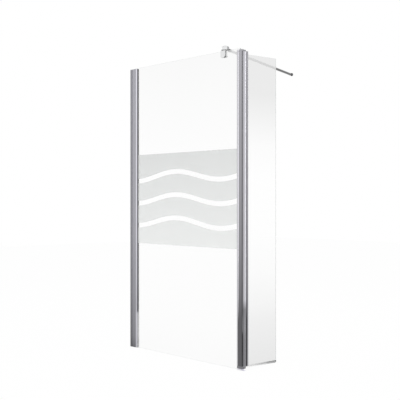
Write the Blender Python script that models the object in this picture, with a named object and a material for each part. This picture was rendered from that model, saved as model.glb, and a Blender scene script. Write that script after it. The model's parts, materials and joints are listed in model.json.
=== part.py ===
"""Walk-in shower screen: a fixed glass panel, a return panel on a hinge column, a stabiliser bar.

Metres, +Z up. The origin is on the column's turning axis, at the underside of its bottom bracket.
The fixed panel runs along -X to the wall and its dry side faces -Y. At rest the return panel
stands square to it, along +Y, and the stabiliser bar runs to a wall behind, on the +Y side.
"""
import math

import bmesh
import bpy
from mathutils import Matrix, Vector

# Overall sizes
AXIS_TO_WALL = 1.185
SHOWER_DEPTH = 1.155
GLASS_TOP = 2.000
GLASS_BOTTOM = 0.002
WALL_DROP = 0.0035
COLUMN_DROP = 0.010
RETURN_REACH = 0.275
RETURN_GLASS_BOTTOM = 0.024
RETURN_HEADROOM = 0.006

# Glass
GLASS_THICK = 0.006
GLASS_ARRIS = 0.0006
GLASS_SETBACK = 0.002

# Clearances and cutting
FIT_GAP = 0.0003
RUN_GAP = 0.0005
SLIDE_GAP = 0.0004
CUT_OVERRUN = 0.004
WELD_REACH = 0.00002

# Extruded profiles
PROFILE_WALL = 0.0016
LIP_HALF = 0.006
LIP_LENGTH = 0.0025
LIP_HOOK = 0.0008
EDGE_ROUND = 0.0007
CAP_THICK = 0.002
CAP_PLUG = 0.010

# Wall channel and wall profile
CHANNEL_HALF = 0.014
CHANNEL_DEPTH = 0.020
CHANNEL_WALL = 0.0016
WALL_ADJUST = 0.005
WALL_REACH = 0.078
WALL_MOUTH_HALF = 0.008
WALL_BEVEL = 0.016
WALL_POCKET = 0.034
WALL_SLOT_RADIUS = 0.003
WALL_SLOT_LENGTH = 0.012
WALL_SLOT_COUNT = 4
WALL_SLOT_INSET = 0.120

# Side screws that lock the wall profile in its channel
SIDE_SCREW_COUNT = 3
SIDE_SCREW_INSET = 0.250
SIDE_SCREW_BACK = 0.008
SIDE_SHANK_RADIUS = 0.0019
SIDE_SHANK_LENGTH = 0.009
SIDE_HEAD_RADIUS = 0.0036
SIDE_HEAD_HEIGHT = 0.0022
SIDE_CAP_WALL = 0.0009

# Corner profile, its glass pocket, chamber and screw ports
CORNER_REACH = 0.0585
CORNER_MOUTH_HALF = 0.0075
CORNER_BEVEL = 0.019
CORNER_POCKET = 0.027
MITRE_SET = 0.0128
MITRE_ANGLE = math.radians(40)
PORT_SET = 0.0205
PORT_SIDE = 0.0083
CHAMBER_HALF = 0.0055
CHAMBER_START = 0.0270
CHAMBER_END = 0.0138
SEAL_WIDTH = 0.0026
SEAL_DEPTH = 0.0020
SEAL_INSET = 0.0007

# Barrel and glass pocket of the return profile
BARREL_RADIUS = 0.0095
BARREL_BORE = 0.0062
RETURN_MOUTH = 0.0242
RETURN_MOUTH_HALF = 0.0095
RETURN_BEVEL = 0.004
RETURN_POCKET = 0.011

# Pivot brackets, pins, bushes and screws
TOP_BLOCK = 0.012
TOP_EAR = 0.005
BOTTOM_BLOCK = 0.026
BOTTOM_EAR = 0.008
EAR_ROOT = 0.0145
EAR_SHOULDER = 0.0015
FOOT_PLATE = 0.003
PIN_RADIUS = 0.004
PIN_REACH = 0.034
PIN_CHAMFER = 0.0008
PIN_HEAD_RADIUS = 0.0068
PIN_HEAD_HEIGHT = 0.0024
HEX_RADIUS = 0.0028
HEX_DEPTH = 0.0016
BUSH_COLLAR = 0.003
BUSH_SLEEVE = 0.022
BUSH_INSET = 0.0004
BUSH_ROUND = 0.0008
PORT_SCREW_RADIUS = 0.0017
PORT_SCREW_GRIP = 0.014
PORT_HEAD_RADIUS = 0.0034
PORT_HEAD_HEIGHT = 0.0020

# Glazing gaskets and drip seal
BEAD_LENGTH = 0.0016
BEAD_INSET = 0.0007
BARB = 0.0005
BARB_LENGTH = 0.0030
DRIP_LEG = 0.010
DRIP_WALL = 0.0011
DRIP_FIN = 0.0055
DRIP_FIN_LEAN = 0.0020
DRIP_INSET = 0.002
BLOCK_HALF = 0.0025
BLOCK_LENGTH = 0.018

# Clamp on the glass
CLAMP_FROM_AXIS = 0.190
CLAMP_WIDTH = 0.040
CLAMP_DROP = 0.041
CLAMP_BRIDGE = 0.004
CLAMP_OUTER = 0.006
CLAMP_INNER = 0.009
CLAMP_FOOT_ROUND = 0.010
CLAMP_HEAD_ROUND = 0.003
CLAMP_BEVEL = 0.0012
PAD_THICK = 0.0012
PAD_MARGIN = 0.003
PLATE_THICK = 0.0015
GRUB_RADIUS = 0.003
GRUB_SPREAD = 0.012
GRUB_DROP = 0.022
GRUB_HEX_RADIUS = 0.0015
STUD_RADIUS = 0.004
STUD_ROOT = 0.017
STUD_HEAD_RADIUS = 0.006
STUD_HEAD_HEIGHT = 0.0028

# Swivel hub
HUB_RADIUS = 0.025
HUB_HALF = 0.0125
HUB_ROUND = 0.004
HUB_SHELF = 0.0060
CAP_RADIUS = 0.0225
CAP_DOME = 0.008
COLLAR_START = 0.008
COLLAR_RADIUS = 0.0120
COLLAR_END = 0.085
COLLAR_TIP_RADIUS = 0.0105
TUBE_START = 0.030
SET_SCREW_RADIUS = 0.002
SET_SCREW_NOSE = 0.0010
HUB_SCREW_AT = 0.055

# Stabiliser bar, its fork and the wall rosette
BAR_ANGLE = math.radians(24.2)
BAR_RADIUS = 0.009
BAR_WALL = 0.0012
FORK_RADIUS = 0.0095
FORK_HEAD = 0.018
FORK_SPIGOT = 0.020
FORK_SLOT = 0.009
FORK_END = 0.0078
TONGUE_THICK = 0.005
TONGUE_HALF = 0.0062
SWIVEL_PIN_RADIUS = 0.002
SWIVEL_PIN_DOME = 0.0006
ROSETTE_REACH = 0.017
ROSETTE_RADIUS = 0.012
ROSETTE_THICK = 0.006
ROSETTE_ROUND = 0.0012
ANCHOR_RADIUS = 0.0024
ANCHOR_DEPTH = 0.0045

# Facets
ROUND_STEPS = 28
SMALL_STEPS = 16
FILLET_STEPS = 3
SHARP_ANGLE = math.radians(32)

# Places worked out from the sizes
WALL_X = -AXIS_TO_WALL
CHANNEL_END_X = WALL_X + CHANNEL_DEPTH
PROFILE_HALF = CHANNEL_HALF - CHANNEL_WALL - SLIDE_GAP
CAVITY_HALF = PROFILE_HALF - PROFILE_WALL
GLASS_HALF = GLASS_THICK / 2
SLOT_HALF = GLASS_HALF + FIT_GAP
WALL_MOUTH_X = WALL_X + WALL_REACH
WALL_POCKET_X = WALL_MOUTH_X - WALL_POCKET
LEG_START_X = WALL_X + CHANNEL_WALL + WALL_ADJUST
GLASS_LEFT = WALL_POCKET_X + GLASS_SETBACK
CORNER_POCKET_X = -CORNER_REACH + CORNER_POCKET
GLASS_RIGHT = CORNER_POCKET_X - GLASS_SETBACK
WALL_TOP = GLASS_TOP - WALL_DROP
WALL_FRAME_TOP = WALL_TOP - CAP_THICK - FIT_GAP
COLUMN_TOP = GLASS_TOP - COLUMN_DROP
TOP_SEAT = COLUMN_TOP - TOP_BLOCK
TOP_RIM = TOP_SEAT + TOP_EAR
BOTTOM_RIM = BOTTOM_BLOCK - BOTTOM_EAR
CORNER_LOW = BOTTOM_BLOCK + FIT_GAP
CORNER_HIGH = TOP_SEAT - FIT_GAP
RETURN_FOOT = BOTTOM_BLOCK + RUN_GAP + BUSH_COLLAR + FIT_GAP
RETURN_HIGH = TOP_SEAT - RUN_GAP - BUSH_COLLAR - FIT_GAP
RETURN_GLASS_TOP = RETURN_HIGH - CAP_PLUG - RETURN_HEADROOM
RETURN_FLOOR = RETURN_MOUTH - RETURN_POCKET
RETURN_GLASS_START = RETURN_FLOOR + FIT_GAP + RUN_GAP
SADDLE_TOP = GLASS_TOP + FIT_GAP + CLAMP_BRIDGE
BAR_HEIGHT = SADDLE_TOP + RUN_GAP + HUB_HALF
OUTER_JAW_Y = -(GLASS_HALF + PAD_THICK + 2 * FIT_GAP)
INNER_JAW_Y = GLASS_HALF + PAD_THICK + PLATE_THICK + 3 * FIT_GAP
HUB_Y = INNER_JAW_Y + CLAMP_INNER / 2
BAR_SPAN = (SHOWER_DEPTH - ROSETTE_REACH - HUB_Y) / math.cos(BAR_ANGLE)

# Local Z laid along world X (outlines in Y, Z) and along world Y (outlines in Z, X)
ALONG_X = Matrix(((0, 0, 1, 0), (1, 0, 0, 0), (0, 1, 0, 0), (0, 0, 0, 1)))
ALONG_Y = Matrix(((0, 1, 0, 0), (0, 0, 1, 0), (1, 0, 0, 0), (0, 0, 0, 1)))

# A pocket drawn to face along X, turned to face along Y
QUARTER_TURN = Matrix.Rotation(math.pi / 2, 4, "Z")


def clear_scene():
    """Remove whatever the file holds."""
    for obj in list(bpy.data.objects):
        bpy.data.objects.remove(obj, do_unlink=True)


def make_material(name, colour, metallic, roughness, transmission=0.0):
    """A Principled material in one of the screen's finishes."""
    finish = bpy.data.materials.new(name)
    finish.use_nodes = True
    shader = finish.node_tree.nodes["Principled BSDF"]
    shader.inputs["Base Color"].default_value = (*colour, 1.0)
    shader.inputs["Metallic"].default_value = metallic
    shader.inputs["Roughness"].default_value = roughness
    shader.inputs["Transmission Weight"].default_value = transmission
    finish.diffuse_color = (*colour, 1.0)
    return finish


# Outlines

def circle(radius, centre=(0.0, 0.0), steps=ROUND_STEPS):
    """Points round a full circle."""
    turns = [math.tau * i / steps for i in range(steps)]
    return [(centre[0] + radius * math.cos(a), centre[1] + radius * math.sin(a)) for a in turns]


def arc(radius, start, end, centre=(0.0, 0.0), steps=ROUND_STEPS):
    """Points along an arc from angle start to angle end, both ends included."""
    turns = [start + (end - start) * i / steps for i in range(steps + 1)]
    return [(centre[0] + radius * math.cos(a), centre[1] + radius * math.sin(a)) for a in turns]


def outline(corners):
    """A closed outline from corners (x, y) or (x, y, radius), where a radius rounds the corner."""
    points = []
    for i, corner in enumerate(corners):
        here = Vector(corner[:2])
        if len(corner) == 2:
            points.append(tuple(here))
            continue
        radius = corner[2]
        back = (Vector(corners[i - 1][:2]) - here).normalized()
        ahead = (Vector(corners[(i + 1) % len(corners)][:2]) - here).normalized()
        half = back.angle(ahead) / 2
        centre = here + (back + ahead).normalized() * (radius / math.sin(half))
        spoke = here + back * (radius / math.tan(half)) - centre
        sweep = math.pi - 2 * half
        if back.x * ahead.y - back.y * ahead.x > 0:
            sweep = -sweep
        for k in range(FILLET_STEPS + 1):
            turned = Matrix.Rotation(sweep * k / FILLET_STEPS, 2) @ spoke
            points.append(tuple(centre + turned))
    return points


def mirrored(half):
    """A half outline on the side of positive second values, closed by its mirror image."""
    other = [(point[0], -point[1], *point[2:]) for point in reversed(half)]
    return half + other


def swapped(points):
    """The same outline with its two directions exchanged."""
    return [(y, x) for x, y in points]


# Solids

def add_prism(mesh, loops, low, high, place=Matrix.Identity(4)):
    """Extrude an outer loop, with any further loops as holes, from low to high."""
    verts = []
    edges = []
    for loop in loops:
        ring = [mesh.verts.new((x, y, low)) for x, y in loop]
        edges += [mesh.edges.new((ring[i - 1], ring[i])) for i in range(len(ring))]
        verts += ring
    filled = bmesh.ops.triangle_fill(mesh, use_beauty=True, use_dissolve=False, edges=edges)
    faces = [item for item in filled["geom"] if isinstance(item, bmesh.types.BMFace)]
    raised = bmesh.ops.extrude_face_region(mesh, geom=faces)
    top = [item for item in raised["geom"] if isinstance(item, bmesh.types.BMVert)]
    bmesh.ops.translate(mesh, verts=top, vec=(0, 0, high - low))
    bmesh.ops.transform(mesh, matrix=place, verts=verts + top)


def add_turned(mesh, profile, place=Matrix.Identity(4), steps=ROUND_STEPS):
    """Spin a profile of (radius, height) points about local Z; a closed profile makes a ring."""
    start = [mesh.verts.new((radius, 0, height)) for radius, height in profile]
    pairs = list(zip(start, start[1:]))
    if profile[0][0] > 0:
        pairs.append((start[-1], start[0]))
    edges = [mesh.edges.new(pair) for pair in pairs]
    before = set(mesh.verts) - set(start)
    bmesh.ops.spin(mesh, geom=start + edges, cent=(0, 0, 0), axis=(0, 0, 1), dvec=(0, 0, 0),
                   angle=math.tau, steps=steps, use_merge=True, use_duplicate=False)
    fresh = [vert for vert in mesh.verts if vert not in before]
    bmesh.ops.remove_doubles(mesh, verts=fresh, dist=WELD_REACH)
    fresh = [vert for vert in mesh.verts if vert not in before]
    bmesh.ops.transform(mesh, matrix=place, verts=fresh)


def link(name, mesh, finish, parent=None):
    """Turn a bmesh into a named object with its material, shaded smooth with sharp edges kept."""
    bmesh.ops.recalc_face_normals(mesh, faces=mesh.faces)
    data = bpy.data.meshes.new(name)
    mesh.to_mesh(data)
    mesh.free()
    data.shade_smooth()
    data.set_sharp_from_angle(angle=SHARP_ANGLE)
    if finish is not None:
        data.materials.append(finish)
    obj = bpy.data.objects.new(name, data)
    bpy.context.collection.objects.link(obj)
    obj.parent = parent
    return obj


def prism(name, loops, low, high, finish, place=Matrix.Identity(4), parent=None):
    """One extruded object."""
    mesh = bmesh.new()
    add_prism(mesh, loops, low, high, place)
    return link(name, mesh, finish, parent)


def turned(name, profile, finish, place=Matrix.Identity(4), parent=None, steps=ROUND_STEPS):
    """One turned object."""
    mesh = bmesh.new()
    add_turned(mesh, profile, place, steps)
    return link(name, mesh, finish, parent)


def combine(target, mesh, operation):
    """Cut, join or intersect the target with a hidden guide body."""
    guide = link(f"{target.name}_guide", mesh, None, target.parent)
    guide.hide_render = True
    guide.display_type = "WIRE"
    modifier = target.modifiers.new("shape", "BOOLEAN")
    modifier.operation = operation
    modifier.solver = "EXACT"
    modifier.object = guide


def soften(obj, width, segments):
    """Bevel the sharp edges of a body."""
    modifier = obj.modifiers.new("soft_edges", "BEVEL")
    modifier.width = width
    modifier.segments = segments
    modifier.limit_method = "ANGLE"
    modifier.angle_limit = SHARP_ANGLE


def empty(name, location, turn, parent=None):
    """An empty that carries a moving group on its joint's axis."""
    carrier = bpy.data.objects.new(name, None)
    bpy.context.collection.objects.link(carrier)
    carrier.location = location
    carrier.rotation_euler = (0, 0, turn)
    carrier.parent = parent
    return carrier


def spread(low, high, count):
    """Evenly spaced places from low to high."""
    return [low + (high - low) * i / (count - 1) for i in range(count)]


def hex_socket(mesh, place):
    """A hexagonal recess, opening towards local +Z at the height of zero."""
    add_prism(mesh, [circle(HEX_RADIUS, steps=6)], -HEX_DEPTH, CUT_OVERRUN, place)


# Fixed side at the wall

def pocket_half(mouth, inward, mouth_half, bevel, depth):
    """Half outline of a glass pocket, from its outer flat round the lip to the pocket's floor."""
    return [
        (mouth + inward * bevel, PROFILE_HALF),
        (mouth, mouth_half, EDGE_ROUND),
        (mouth, LIP_HALF),
        (mouth + inward * LIP_LENGTH, LIP_HALF),
        (mouth + inward * LIP_LENGTH, LIP_HALF + LIP_HOOK),
        (mouth + inward * bevel, CAVITY_HALF),
        (mouth + inward * depth, CAVITY_HALF),
    ]


def wall_channel(finish):
    """Shallow U extrusion on the wall, with slotted screw holes in its floor."""
    inner = CHANNEL_HALF - CHANNEL_WALL
    half = [
        (WALL_X, CHANNEL_HALF, EDGE_ROUND),
        (CHANNEL_END_X, CHANNEL_HALF, EDGE_ROUND),
        (CHANNEL_END_X, inner),
        (WALL_X + CHANNEL_WALL, inner),
    ]
    channel = prism("wall_channel", [outline(mirrored(half))], 0, WALL_FRAME_TOP, finish)
    mesh = bmesh.new()
    straight = WALL_SLOT_LENGTH / 2 - WALL_SLOT_RADIUS
    for height in spread(WALL_SLOT_INSET, WALL_FRAME_TOP - WALL_SLOT_INSET, WALL_SLOT_COUNT):
        top = arc(WALL_SLOT_RADIUS, 0, math.pi, (0, height + straight), SMALL_STEPS // 2)
        foot = arc(WALL_SLOT_RADIUS, math.pi, math.tau, (0, height - straight), SMALL_STEPS // 2)
        add_prism(mesh, [top + foot], WALL_X - CUT_OVERRUN, WALL_X + CUT_OVERRUN, ALONG_X)
    for height in side_screw_heights():
        add_prism(mesh, [circle(SIDE_SHANK_RADIUS + FIT_GAP, (height, side_screw_x()), SMALL_STEPS)],
                  0, CHANNEL_HALF + CUT_OVERRUN, ALONG_Y)
    combine(channel, mesh, "DIFFERENCE")


def side_screw_x():
    """Distance of the side screws along X, near the channel's open edge."""
    return CHANNEL_END_X - SIDE_SCREW_BACK


def side_screw_heights():
    """Heights of the side screws."""
    return spread(SIDE_SCREW_INSET, WALL_TOP - SIDE_SCREW_INSET, SIDE_SCREW_COUNT)


def wall_profile(finish):
    """Telescoping extrusion: legs that slide in the channel, a web and the glass pocket."""
    web = WALL_POCKET_X - PROFILE_WALL
    half = pocket_half(WALL_MOUTH_X, -1, WALL_MOUTH_HALF, WALL_BEVEL, WALL_POCKET)
    rim = [(WALL_POCKET_X, -CAVITY_HALF)] + [(p[0], -p[1], *p[2:]) for p in reversed(half[:-1])]
    legs = [
        (LEG_START_X, -PROFILE_HALF),
        (LEG_START_X, -CAVITY_HALF),
        (web, -CAVITY_HALF),
        (web, CAVITY_HALF),
        (LEG_START_X, CAVITY_HALF),
        (LEG_START_X, PROFILE_HALF),
    ]
    profile = prism("wall_profile", [outline(half + rim + legs)], 0, WALL_FRAME_TOP, finish)
    mesh = bmesh.new()
    for height in side_screw_heights():
        add_prism(mesh, [circle(SIDE_SHANK_RADIUS + FIT_GAP, (height, side_screw_x()), SMALL_STEPS)],
                  0, CHANNEL_HALF + CUT_OVERRUN, ALONG_Y)
    combine(profile, mesh, "DIFFERENCE")


def wall_cap(finish):
    """Top cap over channel and profile, slotted for the glass, with a hollow plug below."""
    half = [
        (GLASS_LEFT - FIT_GAP, SLOT_HALF),
        (WALL_MOUTH_X, SLOT_HALF),
        (WALL_MOUTH_X, WALL_MOUTH_HALF, EDGE_ROUND),
        (WALL_MOUTH_X - WALL_BEVEL, PROFILE_HALF),
        (CHANNEL_END_X, PROFILE_HALF),
        (CHANNEL_END_X, CHANNEL_HALF, EDGE_ROUND),
        (WALL_X, CHANNEL_HALF),
    ]
    cap = prism("wall_profile_cap", [outline(mirrored(half))], WALL_TOP - CAP_THICK, WALL_TOP, finish)
    reach = CAVITY_HALF - FIT_GAP
    near = LEG_START_X
    far = WALL_POCKET_X - PROFILE_WALL - FIT_GAP
    hollow = reach - PROFILE_WALL
    plug = outline([(near, -reach), (far, -reach), (far, reach), (near, reach)])
    void = outline([(near + PROFILE_WALL, -hollow), (far - PROFILE_WALL, -hollow),
                    (far - PROFILE_WALL, hollow), (near + PROFILE_WALL, hollow)])
    mesh = bmesh.new()
    add_prism(mesh, [plug, void], WALL_TOP - CAP_THICK - CAP_PLUG, WALL_TOP - CAP_THICK / 2)
    combine(cap, mesh, "UNION")


def side_fixings(steel, plastic):
    """Pan-head screws through channel and profile legs, and the cover caps on their heads."""
    outward = Matrix.Rotation(-math.pi / 2, 4, "X")
    face = CHANNEL_HALF + FIT_GAP
    screw = [(0, -SIDE_SHANK_LENGTH), (SIDE_SHANK_RADIUS, -SIDE_SHANK_LENGTH + PIN_CHAMFER),
             (SIDE_SHANK_RADIUS, 0), (SIDE_HEAD_RADIUS, 0),
             (SIDE_HEAD_RADIUS, SIDE_HEAD_HEIGHT / 2), (SIDE_HEAD_RADIUS / 2, SIDE_HEAD_HEIGHT),
             (0, SIDE_HEAD_HEIGHT)]
    room = SIDE_HEAD_RADIUS + FIT_GAP
    lid = SIDE_HEAD_HEIGHT + FIT_GAP
    skin = SIDE_CAP_WALL
    cover = [(0, lid), (room, lid), (room, 0), (room + skin, 0), (room + skin, lid),
             (room, lid + skin), (0, lid + skin)]
    for number, height in enumerate(side_screw_heights(), 1):
        place = Matrix.Translation((side_screw_x(), face, height)) @ outward
        turned(f"side_screw_{number}", screw, steel, place, steps=SMALL_STEPS)
        turned(f"side_screw_cover_{number}", cover, plastic, place, steps=SMALL_STEPS)


# Glazing

def main_glass(finish):
    """The large fixed panel, with ground edges."""
    plan = outline([(GLASS_LEFT, -GLASS_HALF), (GLASS_RIGHT, -GLASS_HALF),
                    (GLASS_RIGHT, GLASS_HALF), (GLASS_LEFT, GLASS_HALF)])
    soften(prism("main_glass", [plan], GLASS_BOTTOM, GLASS_TOP, finish), GLASS_ARRIS, 1)


def gasket_outline(mouth, inward, mouth_half):
    """Section of a glazing gasket: bead on the mouth, neck between lip and glass, barb behind."""
    bead = mouth - inward * BEAD_LENGTH
    seat = mouth - inward * FIT_GAP
    behind = mouth + inward * (LIP_LENGTH + FIT_GAP)
    neck = LIP_HALF - FIT_GAP
    return outline([
        (bead, SLOT_HALF),
        (bead, mouth_half - BEAD_INSET, EDGE_ROUND),
        (seat, mouth_half - BEAD_INSET),
        (seat, neck),
        (behind, neck),
        (behind, neck + BARB),
        (behind + inward * BARB_LENGTH, SLOT_HALF + BARB),
        (behind + inward * BARB_LENGTH, SLOT_HALF),
    ])


def gaskets(stem, plan, low, high, finish, place=Matrix.Identity(4), parent=None):
    """The outer and inner gasket of one glass pocket, drawn for a pocket that faces along X."""
    other = [(x, -y) for x, y in plan]
    prism(f"{stem}_gasket_outer", [other], low, high, finish, place, parent)
    prism(f"{stem}_gasket_inner", [plan], low, high, finish, place, parent)


def setting_blocks(finish):
    """Small blocks that carry the large panel inside its two pockets."""
    for name, start in (("wall", GLASS_LEFT), ("corner", GLASS_RIGHT - BLOCK_LENGTH)):
        block = [(start, -BLOCK_HALF), (start + BLOCK_LENGTH, -BLOCK_HALF),
                 (start + BLOCK_LENGTH, BLOCK_HALF), (start, BLOCK_HALF)]
        prism(f"setting_block_{name}", [block], 0, GLASS_BOTTOM - FIT_GAP, finish)


# Fixed side at the corner

def mitre_corner():
    """Where the corner profile's flat ends, and where its chamfer meets the cove."""
    cove = BARREL_RADIUS + RUN_GAP
    tip = (-cove * math.cos(MITRE_ANGLE), cove * math.sin(MITRE_ANGLE))
    return (-MITRE_SET, PROFILE_HALF), tip


def chamfer_frame():
    """Start, direction and inward normal of the chamfer on the side of positive Y."""
    flat, tip = (Vector(point) for point in mitre_corner())
    along = (flat - tip).normalized()
    inward = Vector((-along.y, along.x))
    if inward.x > 0:
        inward.negate()
    return tip, along, inward


def seal_groove(clearance):
    """The seal's section in the chamfer, grown by a clearance to cut its groove."""
    tip, along, inward = chamfer_frame()
    near = tip + along * (SEAL_INSET - clearance)
    far = tip + along * (SEAL_INSET + SEAL_WIDTH + clearance)
    depth = inward * (SEAL_DEPTH + clearance)
    return [tuple(near), tuple(near + depth), tuple(far + depth), tuple(far)]


def corner_profile(finish):
    """Extrusion with the glass pocket, a chamber, two screw ports and the cove for the barrel."""
    flat, tip = mitre_corner()
    cove = BARREL_RADIUS + RUN_GAP
    groove = seal_groove(FIT_GAP)
    half = pocket_half(-CORNER_REACH, 1, CORNER_MOUTH_HALF, CORNER_BEVEL, CORNER_POCKET)
    upper = outline(half[::-1]) + [flat] + groove[::-1] + [tip]
    hollow = arc(cove, math.pi - MITRE_ANGLE, math.pi, steps=SMALL_STEPS // 2)[1:]
    upper += hollow
    full = upper + [(x, -y) for x, y in reversed(upper[:-1])]
    chamber = outline([(-CHAMBER_START, -CHAMBER_HALF, EDGE_ROUND),
                       (-CHAMBER_END, -CHAMBER_HALF, EDGE_ROUND),
                       (-CHAMBER_END, CHAMBER_HALF, EDGE_ROUND),
                       (-CHAMBER_START, CHAMBER_HALF, EDGE_ROUND)])
    ports = [circle(PORT_SCREW_RADIUS + FIT_GAP, place, SMALL_STEPS) for place in port_screw_places()]
    prism("corner_profile", [full, chamber, *ports], CORNER_LOW, CORNER_HIGH, finish)


def column_seals(finish):
    """Soft strips in the corner profile's chamfers, beside the barrel."""
    strip = seal_groove(0)
    prism("column_seal_inner", [strip], CORNER_LOW, CORNER_HIGH, finish)
    prism("column_seal_outer", [[(x, -y) for x, y in strip]], CORNER_LOW, CORNER_HIGH, finish)


def bracket_plan():
    """Plan of a pivot bracket: the corner profile's shape, slotted for the glass, and a round ear."""
    flat = mitre_corner()[0]
    half = [
        (GLASS_RIGHT + FIT_GAP, SLOT_HALF),
        (-CORNER_REACH, SLOT_HALF),
        (-CORNER_REACH, CORNER_MOUTH_HALF, EDGE_ROUND),
        (-CORNER_REACH + CORNER_BEVEL, PROFILE_HALF),
        flat,
    ]
    upper = outline(half)
    ear = arc(BARREL_RADIUS, math.pi / 2, -math.pi / 2)
    return upper + ear + [(x, -y) for x, y in reversed(upper)]


def port_screw_places():
    """Plan positions of the bracket screws."""
    return [(-PORT_SET, side * PORT_SIDE) for side in (-1, 1)]


def bracket(name, low, high, outer, finish):
    """A pivot bracket: a block on the profile's end whose ear slopes off towards its open face.

    outer is +1 where the open face looks up. Where it looks down it is -1, and a foot plate stays
    under the ear.
    """
    block = prism(name, [bracket_plan()], low, high, finish)
    face = high if outer > 0 else low
    rim = TOP_RIM if outer > 0 else BOTTOM_RIM
    plate = 0 if outer > 0 else FOOT_PLATE
    far = face + CUT_OVERRUN if outer > 0 else FOOT_PLATE
    root = face - outer * (plate + EAR_SHOULDER)
    nose = BARREL_RADIUS + CUT_OVERRUN
    side = PROFILE_HALF + CUT_OVERRUN
    relief = bmesh.new()
    add_prism(relief, [[(far, -EAR_ROOT), (root, -EAR_ROOT), (rim, BARREL_RADIUS), (rim, nose), (far, nose)]],
              -side, side, ALONG_Y)
    combine(block, relief, "DIFFERENCE")
    turn = Matrix.Identity(4) if outer > 0 else Matrix.Rotation(math.pi, 4, "X")
    sink = PORT_HEAD_RADIUS + 2 * FIT_GAP
    shank = PORT_SCREW_RADIUS + FIT_GAP
    depth = PORT_HEAD_HEIGHT + 2 * FIT_GAP
    hole = [(0, -(high - low) - CUT_OVERRUN), (shank, -(high - low) - CUT_OVERRUN),
            (shank, -depth), (sink, -FIT_GAP), (sink, CUT_OVERRUN), (0, CUT_OVERRUN)]
    mesh = bmesh.new()
    for x, y in port_screw_places():
        add_turned(mesh, hole, Matrix.Translation((x, y, face)) @ turn, SMALL_STEPS)
    clear = PIN_RADIUS + FIT_GAP
    if outer > 0:
        head = PIN_HEAD_RADIUS + FIT_GAP
        bed = rim - PIN_HEAD_HEIGHT - FIT_GAP
        bore = [(0, low - CUT_OVERRUN), (clear, low - CUT_OVERRUN), (clear, bed), (head, bed),
                (head, high + CUT_OVERRUN), (0, high + CUT_OVERRUN)]
    else:
        bore = [(0, rim), (clear, rim), (clear, high + CUT_OVERRUN), (0, high + CUT_OVERRUN)]
    add_turned(mesh, bore, steps=SMALL_STEPS)
    combine(block, mesh, "DIFFERENCE")


def port_screws(stem, face, outer, block, finish):
    """Countersunk screws through a bracket of the given height into the corner profile."""
    turn = Matrix.Identity(4) if outer > 0 else Matrix.Rotation(math.pi, 4, "X")
    tip = -(block + PORT_SCREW_GRIP)
    screw = [(0, tip), (PORT_SCREW_RADIUS, tip + PIN_CHAMFER),
             (PORT_SCREW_RADIUS, -PORT_HEAD_HEIGHT), (PORT_HEAD_RADIUS, -FIT_GAP),
             (0, -FIT_GAP)]
    for number, (x, y) in enumerate(port_screw_places(), 1):
        place = Matrix.Translation((x, y, face)) @ turn
        turned(f"{stem}_{number}", screw, finish, place, steps=SMALL_STEPS)


def pivot_pins(finish):
    """A shouldered top pin with a hexagon socket, and a plain bottom pin in a blind seat."""
    top = TOP_RIM - FIT_GAP
    shoulder = top - PIN_HEAD_HEIGHT
    tip = CORNER_HIGH - PIN_REACH
    pin = [(0, tip), (PIN_RADIUS - PIN_CHAMFER, tip), (PIN_RADIUS, tip + PIN_CHAMFER),
           (PIN_RADIUS, shoulder), (PIN_HEAD_RADIUS, shoulder), (PIN_HEAD_RADIUS, top), (0, top)]
    upper = turned("pivot_pin_top", pin, finish)
    socket = bmesh.new()
    hex_socket(socket, Matrix.Translation((0, 0, top)))
    combine(upper, socket, "DIFFERENCE")
    foot = BOTTOM_RIM + FIT_GAP
    head = CORNER_LOW + PIN_REACH
    lower = [(0, foot), (PIN_RADIUS, foot), (PIN_RADIUS, head - PIN_CHAMFER),
             (PIN_RADIUS - PIN_CHAMFER, head), (0, head)]
    turned("pivot_pin_bottom", lower, finish)


# Return panel

def return_profile(finish, axis):
    """Barrel and glass pocket in one extrusion, with mitred shoulders."""
    half = pocket_half(RETURN_MOUTH, -1, RETURN_MOUTH_HALF, RETURN_BEVEL, RETURN_POCKET)
    shoulder = (MITRE_SET, PROFILE_HALF)
    side = outline(half[::-1])
    barrel = arc(BARREL_RADIUS, MITRE_ANGLE, math.tau - MITRE_ANGLE)
    full = side + [shoulder] + barrel + [(MITRE_SET, -PROFILE_HALF)]
    full += [(s, -x) for s, x in reversed(side)]
    loops = [swapped(full), circle(BARREL_BORE)]
    prism("return_profile", loops, RETURN_FOOT, RETURN_HIGH, finish, parent=axis)


def return_glass(finish, axis):
    """The return panel's glass, with ground edges."""
    plan = outline([(-GLASS_HALF, RETURN_GLASS_START), (GLASS_HALF, RETURN_GLASS_START),
                    (GLASS_HALF, RETURN_REACH), (-GLASS_HALF, RETURN_REACH)])
    pane = prism("return_glass", [plan], RETURN_GLASS_BOTTOM, RETURN_GLASS_TOP, finish, parent=axis)
    soften(pane, GLASS_ARRIS, 1)


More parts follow.
